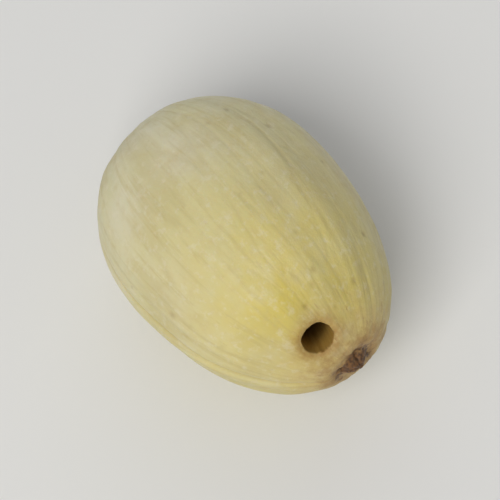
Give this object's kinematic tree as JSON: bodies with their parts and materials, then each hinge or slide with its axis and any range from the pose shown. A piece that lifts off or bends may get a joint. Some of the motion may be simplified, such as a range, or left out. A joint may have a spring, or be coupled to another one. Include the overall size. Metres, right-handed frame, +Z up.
{
  "type": "dried peeled lotus seed",
  "caption": "Dried, peeled lotus seed kernel: blunt ovoid with a seam, a parted base, a cracked tip scar and the round hole left where the germ was taken out.",
  "frame": {"origin": "on the surface that the seed lies on, under the middle of its box", "axes": "+X along the seed towards the scarred tip with the hole, +Y across it along the seam plane, +Z up"},
  "size_m": [0.0128, 0.0094, 0.009],
  "materials": {
    "dry_seed_flesh": "dry, matt, cream to pale yellow seed flesh, stained brown round the tip scar and the hole"
  },
  "bodies": {
    "root": {"lotus_seed": "dry_seed_flesh"}
  },
  "joints": []
}
